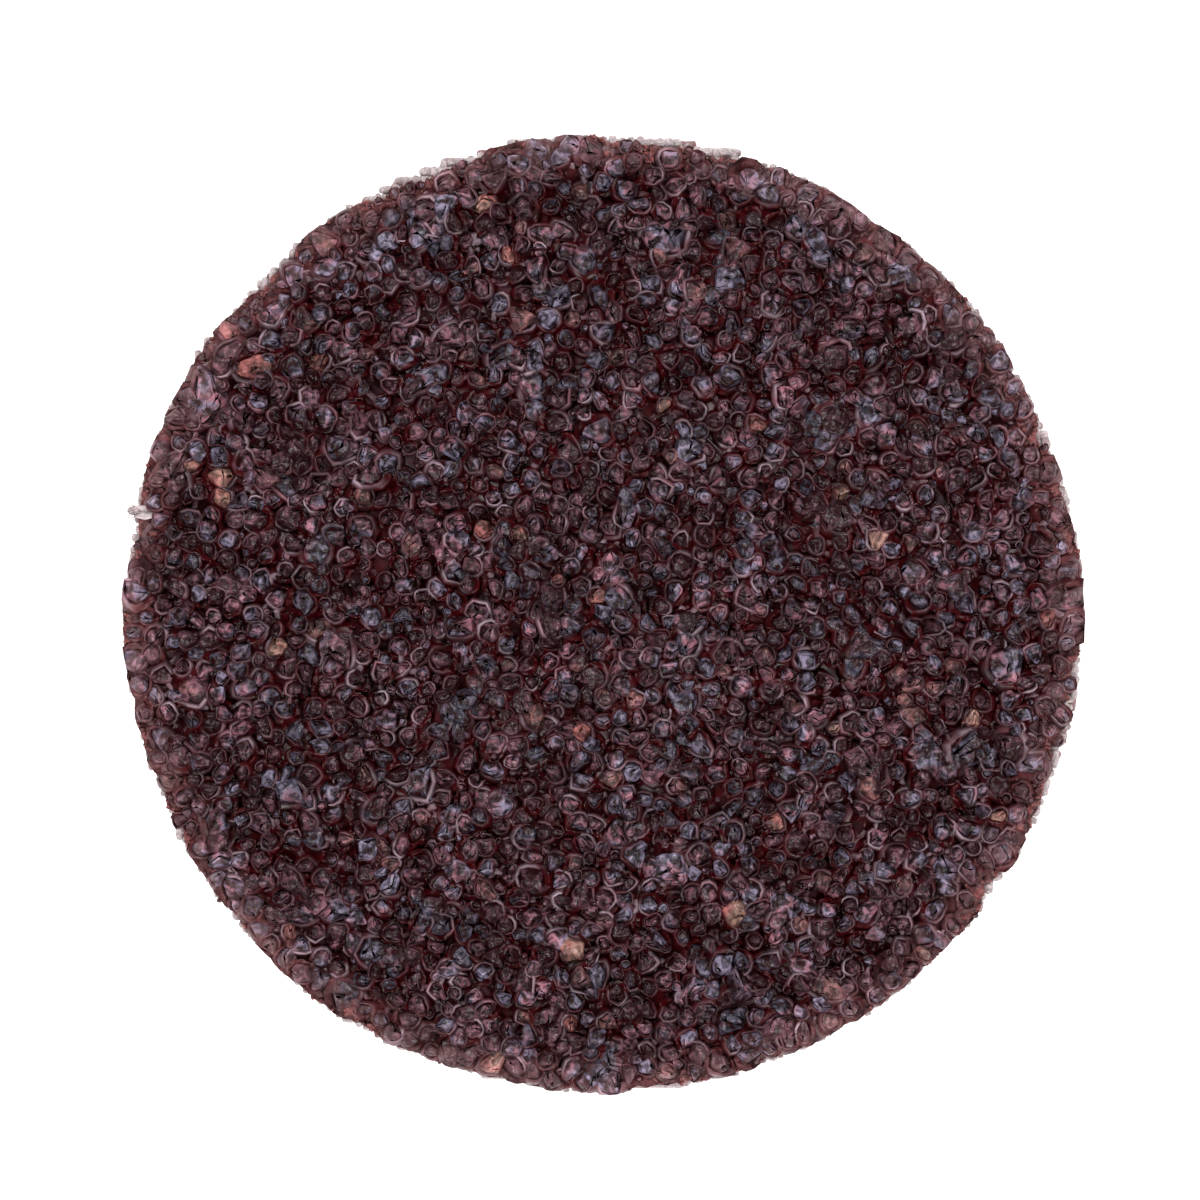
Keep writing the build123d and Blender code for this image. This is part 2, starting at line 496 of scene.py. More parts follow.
def resin_material(name, deep, crest, rim):
    """Glossy maroon resin: dark where it lies deep, greyed pink where it thins over a lip. The greyed pink
    is partly thin resin and partly a painted highlight.
    """
    m = Finish(name)
    cloud = m.noise(1.1, 2.0, 0.5)
    base = m.mix(m.span(cloud, 0.4, 0.62), deep, shaded(deep, 3.6, 2.6, 2.8))
    # Painted highlight with thin resin: the crests of lips and webs are made greyed pink
    thin = m.math("MULTIPLY", m.attribute("thin"), m.span(m.noise(0.9), 0.38, 0.58, 0.2, 1.0))
    pale = m.mix(m.span(m.noise(0.7), 0.48, 0.66), crest, shaded(crest, 0.85, 0.55, 0.56))
    base = m.mix(thin, base, m.vector("SCALE", pale, Scale=clouded(m)))
    # Lighter and pinker near the rim
    base = dusted(m, base, rim)
    normal = m.bump(m.noise(0.9, 0.0, 0.5, 0.5), 0.07)
    rough = m.span(m.noise(1.5), 0.3, 0.7, 0.24, 0.40)
    return m.finish(base, rough, normal, IOR=1.31)


def broken_resin_material(name, deep, rim):
    """Resin torn and dusted by the cutting of the disc: crumbly, dull, brick pink over dark maroon."""
    m = Finish(name)
    coarse = m.noise(2.2, 3.0, 0.65)
    fine = m.noise(7.0, 2.0, 0.6)
    base = m.mix(m.span(coarse, 0.38, 0.60), deep, shaded(rim, 1.1, 0.55, 0.5))
    base = m.mix(m.span(fine, 0.50, 0.70, 0.0, 0.7), base, shaded(rim, 1.5))
    normal = m.bump(fine, 0.05, 1.0, m.bump(coarse, 0.20))
    return m.finish(base, m.span(fine, 0.3, 0.7, 0.75, 0.45), normal, IOR=1.5)


def yarn_material(name, along_x, cloth, soaked, clean, dirt):
    """Spun yarn: pale over the clean length at its cut end, soaked with resin further in."""
    m = Finish(name)
    lengthways = m.stretched((1.6, 14.0, 14.0) if along_x else (14.0, 1.6, 14.0))
    fibres = m.noise(1.0, 3.0, 0.6, 0.4, place=lengthways)
    cut = m.span(m.radius(), DISC_RADIUS / MM - clean, DISC_RADIUS / MM - clean / 2)
    base = m.mix(cut, soaked, cloth.yarn)
    base = m.vector("SCALE", base, Scale=m.span(fibres, 0.36, 0.60, 0.50, 1.10))
    dust = m.math("MULTIPLY", cut, m.span(m.noise(1.4, 3.0), 0.52 - dirt, 0.70 - dirt, dirt, 0.6 + dirt))
    base = m.mix(dust, base, cloth.dust)
    return m.finish(base, m.span(fibres, 0.3, 0.7, 0.85, 0.6), m.bump(fibres, 0.05), Sheen_Weight=0.25)


def dull_film_material(name, color, fleck):
    """A thin dull coat of adhesive or resin, with flecks and a faint orange-peel surface."""
    m = Finish(name)
    cloud = m.noise(0.5, 3.0, 0.55)
    flecks = m.noise(5.0, 2.0, 0.6)
    base = m.mix(m.span(cloud, 0.35, 0.65), shaded(color, 0.8), shaded(color, 1.12))
    base = m.mix(m.span(flecks, 0.56, 0.70, 0.0, 0.6), base, fleck)
    normal = m.bump(flecks, 0.02, 1.0, m.bump(cloud, 0.05))
    return m.finish(base, m.span(flecks, 0.3, 0.7, 0.62, 0.42), normal, IOR=1.5)


def hot_melt_material(name, color):
    """Amber hot-melt glue: waxy, a little clear, with stringy swirls."""
    m = Finish(name)
    swirl = m.noise(0.9, 3.0, 0.5, 1.6)
    base = m.mix(m.span(swirl, 0.35, 0.65), shaded(color, 0.75), color)
    normal = m.bump(m.noise(2.2, 2.0), 0.06)
    return m.finish(
        base, m.span(swirl, 0.3, 0.7, 0.22, 0.38), normal, IOR=1.48, Subsurface_Weight=0.25,
        Subsurface_Radius=(0.0012, 0.0008, 0.0004), Subsurface_Scale=1.0,
    )


def nylon_material(name, color):
    """Moulded nylon with a fine satin skin, paler scuffs on the thread's crest and flow lines."""
    m = Finish(name)
    speckle = m.noise(9.0, 2.0, 0.6)
    flow = m.noise(0.35, 2.0, 0.5, 1.2)
    scuffed = m.math("MULTIPLY", m.span(m.noise(1.6, 3.0), 0.50, 0.66), worn_share(m))
    base = m.mix(m.span(flow, 0.35, 0.65), color, shaded(color, 1.5))
    base = m.mix(scuffed, base, shaded(color, 4.0))
    normal = m.bump(speckle, 0.012, 1.0, m.bump(flow, 0.03))
    rough = m.math("ADD", m.span(speckle, 0.3, 0.7, 0.36, 0.48), m.math("MULTIPLY", scuffed, 0.15))
    return m.finish(base, rough, normal, IOR=1.53)


def worn_share(m):
    """Scuffing: strongest on the thread's crest and on the flange's outer edge."""
    crest = m.span(m.radius(), THREAD_CREST / MM - 0.35, THREAD_CREST / MM)
    below = m.span(m.part(m.place, "Z"), SHOULDER_LOW / MM + 0.1, SHOULDER_LOW / MM - 0.1)
    flange = m.span(m.radius(), FLANGE_RADIUS / MM - 0.4, FLANGE_RADIUS / MM)
    return m.math("ADD", m.math("MULTIPLY", crest, below), m.math("MULTIPLY", flange, 0.8), clamp=True)


# === Helpers for making pieces ===


def mesh_from(shape, name):
    """Turns a bmesh into a mesh, and frees it."""
    mesh = bpy.data.meshes.new(name)
    shape.to_mesh(mesh)
    shape.free()
    return mesh


def join(whole, shape):
    """Adds one bmesh to another, and frees it."""
    mesh = mesh_from(shape, "joined")
    whole.from_mesh(mesh)
    bpy.data.meshes.remove(mesh)


def add_piece(name, shape, material, replaced=(), smooth=True):
    """Turns a bmesh into a finished piece that rides on the disc."""
    mesh = mesh_from(shape, name)
    if smooth:
        mesh.shade_smooth()
    else:
        mesh.shade_flat()
    mesh.materials.append(material)
    piece = bpy.data.objects.new(name, mesh)
    bpy.context.scene.collection.objects.link(piece)
    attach(piece, BODY)
    if replaced:
        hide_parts(*replaced)
    return piece


def paint_faces(piece, name, values):
    """One number for each face, which the material reads."""
    layer = piece.data.attributes.new(name, "FLOAT", "FACE")
    layer.data.foreach_set("value", values)


def solids_in(node):
    """Centre, radius and height of every separate solid in a CAD node, in a steady order."""
    shape = bmesh.new()
    shape.from_mesh(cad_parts[node].data)
    bmesh.ops.remove_doubles(shape, verts=shape.verts, dist=1e-7)
    seen, found = set(), []
    for start in shape.verts:
        if start in seen:
            continue
        seen.add(start)
        island, front = [start.co], [start]
        while front:
            for edge in front.pop().link_edges:
                for vert in edge.verts:
                    if vert not in seen:
                        seen.add(vert)
                        front.append(vert)
                        island.append(vert.co)
        centre = sum(island, Vector()) / len(island)
        radius = max((point - centre).xy.length for point in island)
        low, high = min(p.z for p in island), max(p.z for p in island)
        found.append((round(centre.x, 5), round(centre.y, 5), radius, high - low))
    shape.free()
    return sorted(found)


def place_tree(places):
    """A quick finder of the nearest of many places. Each place starts with its x and y."""
    tree = kdtree.KDTree(len(places))
    for number, (x, y, *_) in enumerate(places):
        tree.insert((x, y, 0.0), number)
    tree.balance()
    return tree


def clamp(value):
    """Holds a value between 0 and 1."""
    return min(1.0, max(0.0, value))


def around(angle):
    """The direction at an angle round the disc."""
    return Vector((math.cos(angle), math.sin(angle), 0.0))


def rim_noise(angle, waves, shift):
    """Smooth noise round the disc, between about -1 and 1, that closes on itself."""
    return noise.noise(around(angle) * waves + Vector((shift, 2 * shift, 0.5)))


def bareness(angle):
    """How bare of resin and grain the cut edge is at an angle round the disc, from 0 to 1."""
    share = 0.0
    for middle, half_width in BARE_STRETCHES:
        apart = (math.degrees(angle) - middle + 180) % 360 - 180
        share = max(share, math.exp(-((apart / half_width) ** 4)))
    ragged = rim_noise(angle, 16, 3.1) + 0.7 * rim_noise(angle, 45, 9.2)
    return clamp(share + 0.7 * rim_noise(angle, 6, 4.7) + 0.5 * ragged)


def rim_radius(angle):
    """The ragged outline that the disc was cut to."""
    return DISC_RADIUS + RIM_WANDER * (0.5 * rim_noise(angle, 4, 1.3) + 0.9 * rim_noise(angle, 18, 6.1))


def first_ring(shape, steps, matrix=Matrix()):
    """A capped circle to grow a closed shape from. Returns its vertices and edges."""
    made = bmesh.ops.create_circle(shape, segments=steps, radius=1.0, cap_ends=True, matrix=matrix)
    return made["verts"], shape.edges[:]


def next_ring(shape, edges):
    """Extrudes a ring of edges. Returns the new ring's vertices and edges."""
    grown = bmesh.ops.extrude_edge_only(shape, edges=edges)["geom"]
    verts = [part for part in grown if isinstance(part, bmesh.types.BMVert)]
    rungs = [part for part in grown if isinstance(part, bmesh.types.BMEdge)]
    fresh = set(verts)
    return verts, [edge for edge in rungs if fresh.issuperset(edge.verts)]


def last_ring(shape, edges):
    """Caps the ring that a shape ends in, and points its faces outwards."""
    bmesh.ops.edgeloop_fill(shape, edges=edges)
    bmesh.ops.recalc_face_normals(shape, faces=shape.faces)


def turned(steps, rows):
    """A closed round shape, built ring by ring. A row gives its radius and height at an angle."""
    shape = bmesh.new()
    ring, edges = first_ring(shape, steps)
    for number, row in enumerate(rows):
        if number:
            ring, edges = next_ring(shape, edges)
        for vert in ring:
            angle = math.atan2(vert.co.y, vert.co.x)
            radius, height = row(angle)
            vert.co = around(angle) * radius + Vector((0.0, 0.0, height))
    last_ring(shape, edges)
    return shape


# === Grain ===


def cut_grain(chance, cuts):
    """A convex crushed grain about one unit in radius, its waterline at z = 0, and its side planes."""
    while True:
        shape, planes = try_grain(chance, cuts)
        if max(vert.co.length for vert in shape.verts) < LONGEST_SPIKE:
            return mesh_from(shape, "grain_shape"), planes
        shape.free()


def try_grain(chance, cuts):
    """A block cut by flat breaks, its edges worn. Now and then the bevel throws a spike far out."""
    shape = bmesh.new()
    bmesh.ops.create_cube(shape, size=2.6)
    long = chance.uniform(0.55, 1.0)
    planes = []
    sides = chance.choice((3, 3, 4, 4, 5, 5, 6))
    for number in range(cuts):
        if number < sides:
            toward = around(math.tau * (number + chance.uniform(-0.3, 0.3)) / sides)
            toward.z = chance.uniform(-0.25, 0.55)
        else:
            toward = around(chance.uniform(0, math.tau))
            toward.z = chance.uniform(0.5, 2.2)
        away = toward.normalized()
        reach = chance.uniform(0.72, 0.98)
        reach *= math.sqrt(away.x**2 + (long * away.y) ** 2 + away.z**2)
        planes.append((away, reach))
    for away, reach in (*planes, (Vector((0, 0, -1)), 0.5)):
        geometry = shape.verts[:] + shape.edges[:] + shape.faces[:]
        found = bmesh.ops.bisect_plane(
            shape, geom=geometry, plane_co=away * reach, plane_no=away, clear_outer=True
        )
        rim = [part for part in found["geom_cut"] if isinstance(part, bmesh.types.BMEdge)]
        if rim:
            bmesh.ops.contextual_create(shape, geom=rim)
    # Marks the bevel faces, which the grain material makes lighter as a painted highlight
    layer = shape.faces.layers.float.new("edge")
    made = bmesh.ops.bevel(
        shape, geom=shape.edges[:], offset=0.17, affect="EDGES", segments=1, profile=0.5, material=-1
    )
    for face in made["faces"]:
        face[layer] = 1.0
    bmesh.ops.remove_doubles(shape, verts=shape.verts, dist=0.02)
    bmesh.ops.recalc_face_normals(shape, faces=shape.faces)
    return shape, planes


def outline_reach(planes, angle):
    """Distance from a grain's centre to its side, at the waterline."""
    toward = around(angle)
    return min(reach / toward.dot(away) for away, reach in planes if toward.dot(away) > 0.05)


def lip_ring(chance, planes, steps, rows):
    """The resin lip round one grain: a moat, a crest and a skirt, in the grain's own units."""
    shape = bmesh.new()
    layer = shape.verts.layers.float.new("thin")
    ring = bmesh.ops.create_circle(shape, segments=steps, radius=1.0)["verts"]
    edges = shape.edges[:]
    angles = [math.tau * step / steps for step in range(steps)]
    reaches = [outline_reach(planes, angle) for angle in angles]
    high_side, tilt = chance.uniform(0, math.tau), chance.uniform(0.3, 1.1)
    lifts = [0.50 + tilt * math.cos(angle - high_side) + chance.uniform(-0.35, 0.35) for angle in angles]
    soft = [
        (reaches[step - 1] + 3 * reaches[step] + reaches[(step + 1) % steps]) / 5 for step in range(steps)
    ]
    soft = [reach * chance.choice((0.94, 0.98, 1.0, 1.04, 1.12)) for reach in soft]
    shine = chance.choice((0.15, 0.3, 0.55, 0.8, 1.0))
    for row, (out, rise, thin) in enumerate(rows):
        if row:
            ring, edges = next_ring(shape, edges)
        for vert in ring:
            step = round((math.atan2(vert.co.y, vert.co.x) % math.tau) / math.tau * steps) % steps
            vert.co = around(angles[step]) * (soft[step] + out)
            vert.co.z = rise * lifts[step]
            # Painted highlight with thin resin: strongest on the crest row and on the lip's high side
            vert[layer] = thin * shine * clamp(lifts[step] * 1.5 - 0.45)
    bmesh.ops.bridge_loops(shape, edges=[edge for edge in shape.edges if edge.is_boundary])
    bmesh.ops.recalc_face_normals(shape, faces=shape.faces)
    return mesh_from(shape, "lip_shape")


def place_copies(copies):
    """Joins many placed copies of a few shapes. Returns the bmesh and each copy's number of faces."""
    whole = bmesh.new()
    counts = []
    for mesh, matrix in copies:
        moved = mesh.copy()
        moved.transform(matrix)
        whole.from_mesh(moved)
        counts.append(len(mesh.polygons))
        bpy.data.meshes.remove(moved)
    return whole, counts


def hold_inside_rim(shape):
    """Cuts a layer off at the disc's ragged outline."""
    for vert in shape.verts:
        reach = vert.co.xy.length
        if reach > DISC_RADIUS - 0.6 * MM:
            limit = rim_radius(math.atan2(vert.co.y, vert.co.x)) + 0.04 * MM
            if reach > limit:
                vert.co.xy = vert.co.xy * (limit / reach)


def grain_layout(settings):
    """Where every grain lies: the engineering solids of each kind, and crumbs in the gaps between."""
    chance = random.Random(LAYOUT_SEED)
    kinds = {kind: [grain for grain in solids_in(kind) if held(grain)] for kind in GRAIN_KINDS}
    placed = [grain for grains in kinds.values() for grain in grains]
    tree = place_tree(placed)
    crumbs = []
    for _ in range(settings.crumbs):
        angle, out = chance.uniform(0, math.tau), DISC_RADIUS * math.sqrt(chance.random()) * 0.985
        x, y = out * math.cos(angle), out * math.sin(angle)
        radius = settings.crumb_radius * chance.uniform(0.65, 1.35)
        _, number, gap = tree.find((x, y, 0.0))
        clear = placed[number][2] * settings.swell * 0.75 + radius * 0.7
        if gap < clear or any(math.dist((x, y), c[:2]) < (radius + c[2]) * 0.8 for c in crumbs):
            continue
        crumbs.append((x, y, radius, radius * chance.uniform(0.9, 1.4)))
    kinds["crumbs"] = crumbs
    return kinds


def held(grain):
    """Whether the resin under a grain is still there: it has gone where the cut edge is bare."""
    x, y, radius, _ = grain
    return math.hypot(x, y) < resin_edge(math.atan2(y, x)) - 0.3 * radius


def grain_matrices(chance, grain, swell, lip_height, crumb):
    """Where one grain and its lip go: turned at random, leaning a little, and sunk unevenly."""
    x, y, radius, height = grain
    turn = Matrix.Rotation(chance.uniform(0, math.tau), 4, "Z")
    lean_axis = Vector((chance.uniform(-1, 1), chance.uniform(-1, 1), 0.0)).normalized()
    lean = Matrix.Rotation(math.radians(chance.uniform(0, 16)), 4, lean_axis)
    tip = Matrix.Rotation(math.radians(chance.uniform(0, 13)), 4, lean_axis)
    wide = radius * (1.0 if crumb else swell) * chance.uniform(0.72, 1.10)
    if not crumb and chance.random() < 0.14:
        wide *= chance.uniform(1.2, 1.6)
    tall = height * chance.uniform(0.95, 1.35)
    low = Matrix.Translation((x, y, RESIN_TOP + MM * chance.uniform(-0.12, 0.05)))
    grain_scale = Matrix.Diagonal((wide, wide, tall, 1.0))
    lip_scale = Matrix.Diagonal((wide, wide, lip_height * chance.uniform(0.55, 1.25), 1.0))
    return low @ lean @ turn @ grain_scale, low @ tip @ turn @ lip_scale


class CARVING_OT_grain(bpy.types.Operator):
    """Sets every crushed grain in the resin, with the lip that the resin makes round it"""

    bl_idname = "carving.grain"
    bl_label = "Grain and resin lips"

    def execute(self, context):
        settings = context.scene.carving_disc_grain
        resin = context.scene.carving_disc_resin
        chance = random.Random(SHAPE_SEED)
        shapes = [cut_grain(chance, chance.choice(GRAIN_CUTS)) for _ in range(settings.shapes)]
        lips = [lip_ring(chance, planes, LIP_STEPS, LIP_ROWS) for _, planes in shapes]
        small = [cut_grain(chance, CRUMB_CUTS) for _ in range(settings.shapes // 2)]
        small_lips = [lip_ring(chance, planes, CRUMB_LIP_STEPS, CRUMB_LIP_ROWS) for _, planes in small]
        colors = {
            "dark_grain": (settings.dark, settings.stain, 0.55, 0.85),
            "red_grain": (settings.red, settings.stain, 0.45, 0.6),
            "pale_grain": (settings.pale, settings.coral, 0.3, 0.45),
        }
        layout = grain_layout(settings)
        if not all(layout.values()):
            raise RuntimeError("a kind of grain has no solids in the engineering model")
        materials = {kind: grain_material(kind, settings, *color) for kind, color in colors.items()}
        lip_copies, small_copies = [], []
        for kind, grains in layout.items():
            crumb = kind == "crumbs"
            choices, choice_lips = (small, small_lips) if crumb else (shapes, lips)
            made_lips = lip_copies if kind == "dark_grain" else small_copies
            copies, tones = [], []
            for grain in grains:
                one = random.Random(f"{kind} {grain[0]:.4f} {grain[1]:.4f}")
                pick = one.randrange(len(choices))
                grain_at, lip_at = grain_matrices(one, grain, settings.swell, resin.lip_height, crumb)
                copies.append((choices[pick][0], grain_at))
                made_lips.append((choice_lips[pick], lip_at))
                tones.append(one.random())
            whole, counts = place_copies(copies)
            hold_inside_rim(whole)
            if crumb:
                piece = add_piece("crumb_grains", whole, materials["dark_grain"])
            else:
                piece = add_piece(f"{kind}s", whole, materials[kind], (kind,))
            paint_faces(piece, "tone", [t for t, n in zip(tones, counts) for _ in range(n)])
        material = resin_material("size_resin_lips", resin.deep, resin.crest, resin.rim)
        for name, copies in (("resin_lips", lip_copies), ("small_resin_lips", small_copies)):
            whole, _ = place_copies(copies)
            hold_inside_rim(whole)
            add_piece(name, whole, material)
        return {"FINISHED"}


class CARVING_OT_resin_bed(bpy.types.Operator):
    """Pours the size coat: a glossy surface that sags between the grains and climbs their sides"""

    bl_idname = "carving.resin_bed"
    bl_label = "Resin bed"

    def execute(self, context):
        noise.seed_set(BED_SEED)
        resin = context.scene.carving_disc_resin
        tree = place_tree([grain for kind in GRAIN_KINDS for grain in solids_in(kind)])
        shape = bmesh.new()
        bmesh.ops.create_grid(shape, x_segments=resin.cells, y_segments=resin.cells, size=1.0)
        for vert in shape.verts:
            u, v = vert.co.x, vert.co.y
            vert.co.x = u * math.sqrt(1 - v * v / 2)
            vert.co.y = v * math.sqrt(1 - u * u / 2)
        layer = shape.verts.layers.float.new("thin")
        for vert in shape.verts:
            angle = math.atan2(vert.co.y, vert.co.x)
            share = vert.co.xy.length
            reach = DISC_RADIUS + (resin_edge(angle) - DISC_RADIUS) * share**20
            x, y = vert.co.x * reach, vert.co.y * reach
            height, thin = bed_relief(tree, x, y)
            thinned = MM * 0.10 * bareness(angle) * share**60
            vert.co = Vector((x, y, RESIN_TOP + height - thinned))
            # Thinness, which the material also shows as a painted highlight on webs and folds
            vert[layer] = thin
        skirt = [edge for edge in shape.edges if edge.is_boundary]
        verts, edges = next_ring(shape, skirt)
        for vert in verts:
            vert.co.z = RESIN_BOTTOM - 0.02 * MM
        last_ring(shape, edges)
        material = resin_material("size_resin_bed", resin.deep, resin.crest, resin.rim)
        add_piece("resin_bed", shape, material, ("size_coat",))
        return {"FINISHED"}


def bed_relief(tree, x, y):
    """Height of the resin surface against its mean level and its thinness: webs from grain to grain. The
    thinness also paints a highlight on the webs and folds.
    """
    (one, _, near), (other, _, far) = tree.find_n((x, y, 0.0), 2)
    place = Vector((x, y, 0.0)) / MM
    detour = (near + far - (one - other).length) / MM
    webbed = clamp(0.7 + 3.0 * noise.noise((one + other) / MM * 0.7))
    web = webbed * math.exp(-((detour / 0.05) ** 2))
    climb = math.exp(-((near / (0.5 * MM)) ** 2))
    fold = 1 - abs(noise.noise(place * 0.55 + noise.noise_vector(place * 0.5) * 0.7)) * 5.0
    fold = max(0.0, fold) ** 1.5
    swell = noise.noise(place * 0.5 + Vector((5, 2, 1)))
    height = MM * (-0.36 + 0.28 * web + 0.06 * climb + 0.22 * fold + 0.06 * swell)
    return height, clamp(0.30 * web + 0.25 * fold - 0.06)


# === Cut edge and cloth ===


def resin_edge(angle):
    """Where the size coat ends."""
    return rim_radius(angle) - MM * (0.03 + 0.95 * bareness(angle))


def make_edge(angle):
    """Where the make coat ends, torn back less than the size coat."""
    torn = 0.5 + 0.9 * abs(rim_noise(angle, 60, 2.7))
    return rim_radius(angle) - MM * (0.04 + 0.62 * torn * bareness(angle))


class CARVING_OT_make_resin(bpy.types.Operator):
    """Lays the make coat, whose broken edge and crumbs show round the rim"""

    bl_idname = "carving.make_resin"
    bl_label = "Make coat"

    def execute(self, context):
        resin = context.scene.carving_disc_resin

        def crumbly(set_back, level, rise, lumps):
            def row(angle):
                lump = rim_noise(angle, 70, set_back) + 0.6 * rim_noise(angle, 160, set_back + 3)
                return make_edge(angle) - MM * (set_back - 0.05 * lump), level + MM * (rise + lumps * lump)
            return row

        shape = turned(
            RIM_STEPS,
            (
                lambda angle: (MAKE_COAT_INNER, MAKE_BOTTOM + 0.01 * MM),
                *(crumbly(*row) for row in MAKE_COAT_ROWS),
                lambda angle: (MAKE_COAT_INNER, MAKE_BOTTOM),
            ),
        )
        material = broken_resin_material("make_resin_broken", resin.deep, resin.rim)
        add_piece("make_coat_resin", shape, material, ("make_coat",))
        self.add_crumbs(resin, material)
        return {"FINISHED"}

    def add_crumbs(self, resin, material):
        """Strews crumbs of broken resin along the edge, most where it is bare."""
        chance = random.Random(EDGE_CRUMB_SEED)
        shapes = [cut_grain(chance, CRUMB_CUTS)[0] for _ in range(10)]
        copies = []
        for _ in range(resin.edge_crumbs):
            angle = chance.uniform(0, math.tau)
            inward, size = chance.uniform(0.05, 1.0), MM * chance.uniform(0.06, 0.17)
            if chance.random() > 0.25 + bareness(angle):
                continue
            place = around(angle) * (make_edge(angle) - MM * inward * (0.2 + bareness(angle)))
            place.z = RESIN_BOTTOM + MM * chance.uniform(-0.04, 0.08)
            turn = Matrix.Rotation(chance.uniform(0, math.tau), 4, "Z")
            lean = Matrix.Rotation(chance.uniform(-0.5, 0.5), 4, "X")
            put = Matrix.Translation(place) @ turn @ lean @ Matrix.Scale(size, 4)
            copies.append((chance.choice(shapes), put))
        whole, _ = place_copies(copies)
        add_piece("edge_crumbs", whole, material, smooth=False)


def askew(yaw, pitch, roll):
    """Turns something that lies along X: about its own length, then up or down, then round the disc."""
    return Matrix.Rotation(yaw, 4, "Z") @ Matrix.Rotation(pitch, 4, "Y") @ Matrix.Rotation(roll, 4, "X")


def spun_yarn(ends, plain, step):
    """A closed six-sided yarn along X, one unit in radius, finely cut except over a plain stretch."""
    shape = bmesh.new()
    _, edges = first_ring(shape, 6, Matrix.Translation((ends[0], 0, 0)) @ UPRIGHT)
    stops = [(ends[1], True)]
    if plain:
        stops = [(plain[0], True), (plain[1], False), (ends[1], True)]
    start = ends[0]
    for stop, fine in stops:
        verts, edges = next_ring(shape, edges)
        for vert in verts:
            vert.co.x = stop
        cuts = max(1, round((stop - start) / step) - 1)
        if fine:
            long = {e for v in verts for e in v.link_edges if abs(e.verts[0].co.x - e.verts[1].co.x) > 1e-6}
            bmesh.ops.subdivide_edges(shape, edges=list(long), cuts=cuts, use_grid_fill=True)
            edges = [e for e in shape.edges if all(abs(v.co.x - stop) < 1e-7 for v in e.verts)]
        start = stop
    last_ring(shape, edges)
    caps = [face for face in shape.faces if len(face.verts) == 6]
    bmesh.ops.poke(shape, faces=caps, offset=0.07 * MM)
    return shape


def yarn_end(angle, chance):
    """How far out a yarn reaches: a little unevenly, past the torn resin where the edge is bare."""
    reach = rim_radius(angle) + MM * chance.uniform(-0.16, 0.08)
    if abs(math.degrees(angle) % 360 - TUFT_ANGLE) < TUFT_HALF_WIDTH:
        reach += TUFT_REACH
    return reach


def yarn_ends(offset, quarter, chance):
    """The two X positions between which a yarn runs, for a layer turned by quarter turns."""
    found = []
    for side in (-1, 1):
        half = math.sqrt(DISC_RADIUS**2 - offset**2)
        angle = math.atan2(offset, side * half) + quarter * math.pi / 2
        reach = yarn_end(angle, chance)
        found.append(side * math.sqrt(max(reach**2 - offset**2, MM**2)))
    return found


class CARVING_OT_cloth(bpy.types.Operator):
    """Weaves the two cloth plies, warp and weft, with their ends cut at the rim"""

    bl_idname = "carving.cloth"
    bl_label = "Cloth plies"

    def execute(self, context):
        cloth = context.scene.carving_disc_cloth
        for ply, (low, high) in (("front", FRONT_PLY), ("rear", REAR_PLY)):
            hidden = DISC_RADIUS - FRONT_PLY_SEEN if ply == "front" else REAR_PLY_COVERED
            for quarter, kind in enumerate(("warp", "weft")):
                self.weave(cloth, f"{ply}_{kind}", quarter, (low + high) / 2, hidden)
        return {"FINISHED"}

    def weave(self, cloth, name, quarter, middle, hidden):
        """Lays one set of crimped yarns, coarsely cut inside the hidden radius."""
        chance = random.Random(name)
        turn = Matrix.Rotation(quarter * math.pi / 2, 3, "Z")
        sign = 1 - 2 * quarter
        count = int(DISC_RADIUS / cloth.pitch)
        whole = bmesh.new()
        for number in range(-count, count + 1):
            offset = number * cloth.pitch
            if abs(offset) > DISC_RADIUS - 0.35 * MM:
                continue
            ends = yarn_ends(offset, quarter, chance)
            plain = None
            if abs(offset) < hidden - MM:
                half = math.sqrt(hidden**2 - offset**2)
                plain = (-half, half) if half < ends[1] - 2 * MM else None
            shape = spun_yarn(ends, plain, cloth.pitch / 2)
            fat = chance.uniform(0.94, 1.06)
            drift = noise.noise(Vector((number * 3.7, quarter, 0.0))) * 0.05 * MM
            for vert in shape.verts:
                x, y, z = vert.co
                wave = sign * math.cos(math.pi * (x / cloth.pitch + number))
                end = min(abs(x - ends[0]), abs(x - ends[1])) < 1e-7
                loose = chance.uniform(0.55, 0.95) if end else fat
                vert.co = turn @ Vector((
                    x,
                    offset + drift + y * loose * cloth.pitch * 0.46,
                    middle + wave * cloth.crimp + z * loose * cloth.thickness / 2,
                ))
            join(whole, shape)
        clean, dirt = (1.2, 0.0) if middle > GLUE_LINE[0] else (0.5, 0.25)
        material = yarn_material(f"{name}_yarn", quarter == 0, cloth, cloth.back, clean, dirt)
        add_piece(f"{name}_cloth", whole, material, (f"{name}_yarns",))


